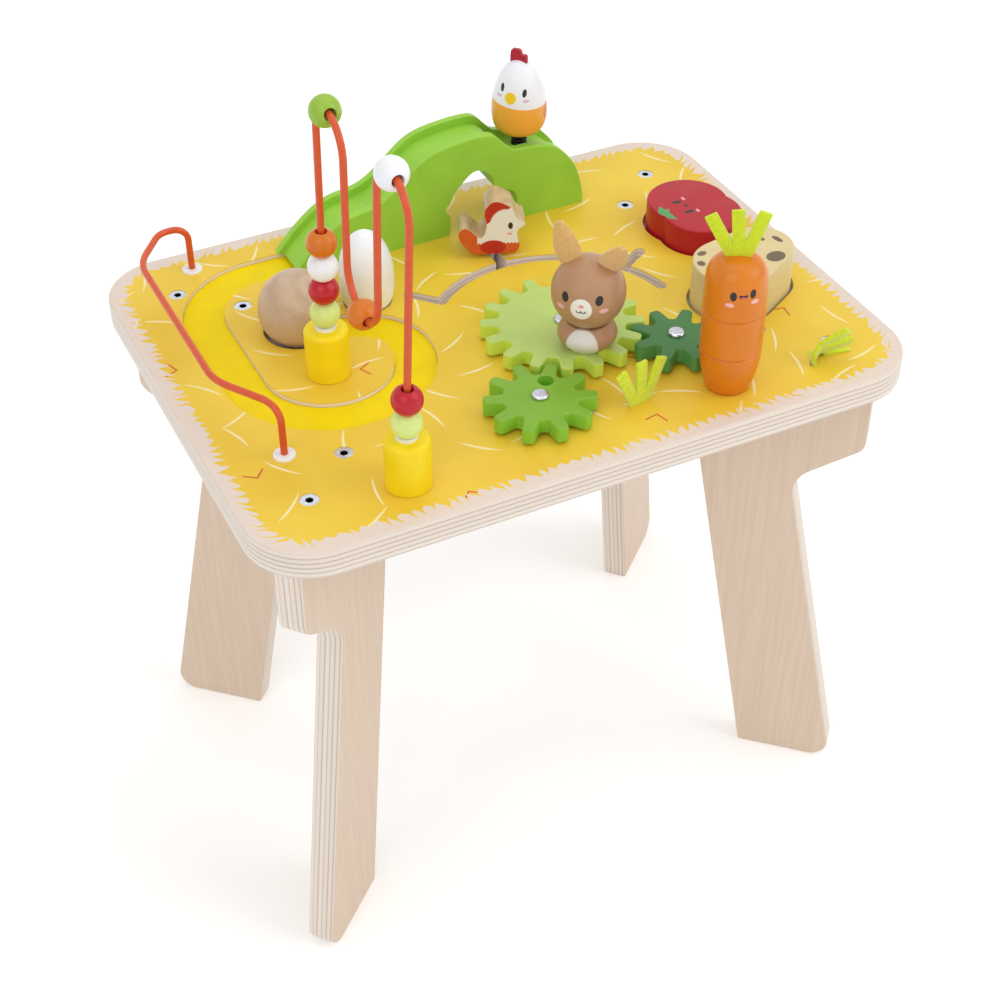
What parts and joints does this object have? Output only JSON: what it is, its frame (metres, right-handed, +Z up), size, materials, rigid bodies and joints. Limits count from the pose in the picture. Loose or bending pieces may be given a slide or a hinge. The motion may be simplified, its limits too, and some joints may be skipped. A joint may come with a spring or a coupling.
{
  "type": "activity table",
  "caption": "Low wooden play table on four slanted panel legs with a bead maze, meshing wheels, a ball track over a hill, turning and lifting farm figures and a guard rail.",
  "frame": {"origin": "on the floor under the centre of the board", "axes": "+X along the board to the right seen from the front, +Y to the back where the hill stands, +Z up"},
  "size_m": [0.4, 0.3, 0.5232],
  "materials": {
    "printed_ply": "satin print under clear lacquer",
    "bare_ply": "clear matt lacquer",
    "turned_wood": "clear satin lacquer",
    "yellow_paint": "satin paint",
    "green_paint": "satin paint",
    "lime_paint": "satin paint",
    "leaf_paint": "satin paint",
    "forest_paint": "satin paint",
    "red_paint": "satin paint",
    "orange_paint": "satin paint",
    "white_paint": "satin paint",
    "brown_paint": "satin paint",
    "potato_wood": "satin paint",
    "coated_wire": "satin powder coat",
    "steel": "bright zinc",
    "white_plastic": "moulded",
    "lime_felt": "pressed felt",
    "tan_felt": "pressed felt",
    "red_felt": "pressed felt"
  },
  "bodies": {
    "table": {"table_top": "printed_ply", "track_inlay": "yellow_paint", "leg_front_left": "bare_ply", "leg_front_right": "bare_ply", "leg_back_left": "bare_ply", "leg_back_right": "bare_ply", "leg_bolts": "steel", "leg_inserts": "steel", "green_hill": "green_paint", "fixing_screws": "steel", "hen_spring": "steel", "wheel_axles": "steel", "wheel_washers": "white_plastic", "carrot_peg": "turned_wood", "felt_tuft_front": "lime_felt", "felt_tuft_side": "lime_felt", "maze_wire": "coated_wire", "post_back": "yellow_paint", "post_front": "yellow_paint", "post_collars": "white_plastic", "rail_wire": "coated_wire", "rail_grommets": "white_plastic"},
    "rocker": {"rocker_hen": "white_paint", "rocker_comb": "red_felt"},
    "hen_runner": {"hen_stem": "steel", "hen_washer": "steel", "hen_nut": "steel"},
    "hen": {"sliding_hen": "turned_wood"},
    "wheel_big": {"big_wheel": "lime_paint"},
    "wheel_mid": {"mid_wheel": "leaf_paint"},
    "wheel_small": {"small_wheel": "forest_paint"},
    "rabbit": {"rabbit_body": "brown_paint", "rabbit_head": "brown_paint", "rabbit_peg": "turned_wood", "rabbit_ear_left": "tan_felt", "rabbit_ear_right": "tan_felt"},
    "tomato": {"tomato": "red_paint"},
    "potato": {"potato": "potato_wood"},
    "ball": {"ball": "turned_wood"},
    "egg": {"egg": "white_paint"},
    "carrot_low": {"carrot_tip": "orange_paint"},
    "carrot_mid": {"carrot_middle": "orange_paint"},
    "carrot_high": {"carrot_top": "orange_paint", "carrot_leaf": "lime_felt"},
    "arch_bead_green": {"arch_bead_green": "leaf_paint"},
    "arch_bead_white": {"arch_bead_white": "white_paint"},
    "back_bead_lime": {"back_bead_lime": "lime_paint"},
    "back_bead_orange": {"back_bead_orange": "orange_paint"},
    "back_bead_red": {"back_bead_red": "red_paint"},
    "back_bead_white": {"back_bead_white": "white_paint"},
    "dip_bead_orange": {"dip_bead_orange": "orange_paint"},
    "front_bead_lime": {"front_bead_lime": "lime_paint"},
    "front_bead_red": {"front_bead_red": "red_paint"}
  },
  "joints": [
    {"name": "big_wheel_spin", "type": "hinge", "parent": "table", "child": "wheel_big", "pos_m": [0.0247, -0.03399, 0.3445], "axis": [0, 0, 1], "continuous": true},
    {"name": "mid_wheel_spin", "type": "hinge", "parent": "table", "child": "wheel_mid", "pos_m": [-0.01981, -0.09348, 0.3445], "axis": [0, 0, 1], "continuous": true},
    {"name": "small_wheel_spin", "type": "hinge", "parent": "table", "child": "wheel_small", "pos_m": [0.0765, -0.07505, 0.3445], "axis": [0, 0, 1], "continuous": true},
    {"name": "rabbit_turn", "type": "hinge", "parent": "wheel_big", "child": "rabbit", "pos_m": [0.02677, -0.06031, 0.3445], "axis": [0, 0, 1], "continuous": true},
    {"name": "rocker_tilt", "type": "hinge", "parent": "table", "child": "rocker", "pos_m": [0.06938, 0.11049, 0.38142], "axis": [1, 0, 0], "range_deg": [-15, 15], "stiffness_Nm_per_rad": 0.03, "deforming": ["hen_spring"]},
    {"name": "hen_slide", "type": "slide", "parent": "table", "child": "hen_runner", "axis": [0, 1, 0], "range_m": [-0.018, 0.002]},
    {"name": "hen_turn", "type": "hinge", "parent": "hen_runner", "child": "hen", "pos_m": [0.0287, 0.06779, 0.3369], "axis": [0, 0, 1], "continuous": true},
    {"name": "tomato_lift", "type": "slide", "parent": "table", "child": "tomato", "axis": [0, 0, 1], "range_m": [0, 0.04]},
    {"name": "potato_lift", "type": "slide", "parent": "table", "child": "potato", "axis": [0, 0, 1], "range_m": [0, 0.04]},
    {"name": "ball_lift", "type": "slide", "parent": "table", "child": "ball", "axis": [0, 0, 1], "range_m": [0, 0.04]},
    {"name": "egg_lift", "type": "slide", "parent": "table", "child": "egg", "axis": [0, 0, 1], "range_m": [0, 0.04]},
    {"name": "carrot_low_turn", "type": "hinge", "parent": "table", "child": "carrot_low", "pos_m": [0.08573, -0.11632, 0.3335], "axis": [0, 0, 1], "continuous": true},
    {"name": "carrot_mid_turn", "type": "hinge", "parent": "table", "child": "carrot_mid", "pos_m": [0.08573, -0.11632, 0.3599], "axis": [0, 0, 1], "continuous": true},
    {"name": "carrot_high_turn", "type": "hinge", "parent": "table", "child": "carrot_high", "pos_m": [0.08573, -0.11632, 0.3849], "axis": [0, 0, 1], "continuous": true},
    {"name": "back_bead_lime_turn", "type": "hinge", "parent": "table", "child": "back_bead_lime", "pos_m": [-0.109, -0.00751, 0.37402], "axis": [0, -0.0701, 0.9975], "continuous": true},
    {"name": "back_bead_red_turn", "type": "hinge", "parent": "table", "child": "back_bead_red", "pos_m": [-0.109, -0.0086, 0.38949], "axis": [0, -0.0701, 0.9975], "continuous": true},
    {"name": "back_bead_white_turn", "type": "hinge", "parent": "table", "child": "back_bead_white", "pos_m": [-0.109, -0.00969, 0.40495], "axis": [0, -0.0701, 0.9975], "continuous": true},
    {"name": "back_bead_orange_slide", "type": "slide", "parent": "table", "child": "back_bead_orange", "axis": [0, -0.0701, 0.9975], "range_m": [0, 0.055]},
    {"name": "front_bead_lime_turn", "type": "hinge", "parent": "table", "child": "front_bead_lime", "pos_m": [-0.109, -0.11844, 0.37399], "axis": [0, -0.1123, 0.9937], "continuous": true},
    {"name": "front_bead_red_slide", "type": "slide", "parent": "table", "child": "front_bead_red", "axis": [0, -0.1123, 0.9937], "range_m": [0, 0.085]},
    {"name": "arch_bead_green_slide", "type": "hinge", "parent": "table", "child": "arch_bead_green", "pos_m": [-0.109, -0.03362, 0.49062], "axis": [1, 0, 0], "range_deg": [-42, 70]},
    {"name": "arch_bead_white_slide", "type": "hinge", "parent": "table", "child": "arch_bead_white", "pos_m": [-0.109, -0.11323, 0.49656], "axis": [1, 0, 0], "range_deg": [-58, 64]},
    {"name": "dip_bead_orange_slide", "type": "hinge", "parent": "table", "child": "dip_bead_orange", "pos_m": [-0.109, -0.06746, 0.42728], "axis": [1, 0, 0], "range_deg": [-65, 57]}
  ],
  "couplings": [
    {"joint": "mid_wheel_spin", "follows": "big_wheel_spin", "ratio": -1.6},
    {"joint": "small_wheel_spin", "follows": "big_wheel_spin", "ratio": -2}
  ]
}
